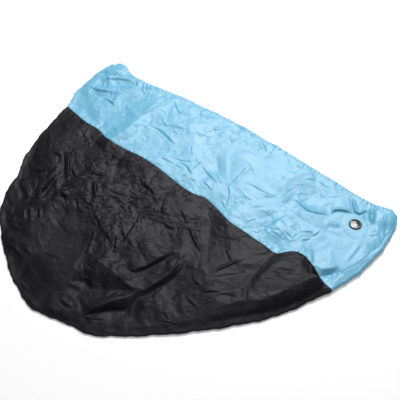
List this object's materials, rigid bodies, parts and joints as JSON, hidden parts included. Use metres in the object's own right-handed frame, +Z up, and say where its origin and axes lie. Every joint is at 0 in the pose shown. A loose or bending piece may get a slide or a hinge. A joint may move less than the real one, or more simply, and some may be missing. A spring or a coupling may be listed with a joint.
{
  "type": "motorcycle cover",
  "caption": "Two-tone cloth motorcycle cover lying on its side, folded along its ridge seam, with a gathered hem and lock eyelets held in sewn patches.",
  "frame": {"origin": "on the floor, under the middle of the laid cover's box", "axes": "+X along the hem from the front end to the rear end, +Y from the ridge towards the open hem, +Z up"},
  "size_m": [1.8308, 1.407, 0.0513],
  "materials": {
    "upper_cloth": "black coated polyester, fine plain weave, faint sheen",
    "skirt_cloth": "light blue coated polyester, fine plain weave, faint sheen",
    "patch_cloth": "light blue coated polyester, sewn round its edge",
    "eyelet": "near-black moulded plastic, satin"
  },
  "bodies": {
    "root": {"upper_top": "upper_cloth", "upper_under": "upper_cloth", "upper_under_edge": "upper_cloth", "skirt_top": "skirt_cloth", "skirt_under": "skirt_cloth", "skirt_under_front_edge": "skirt_cloth", "skirt_under_rear_edge": "skirt_cloth", "patch_top": "patch_cloth", "patch_under": "patch_cloth", "eyelet_top": "eyelet", "eyelet_under": "eyelet"}
  },
  "joints": []
}
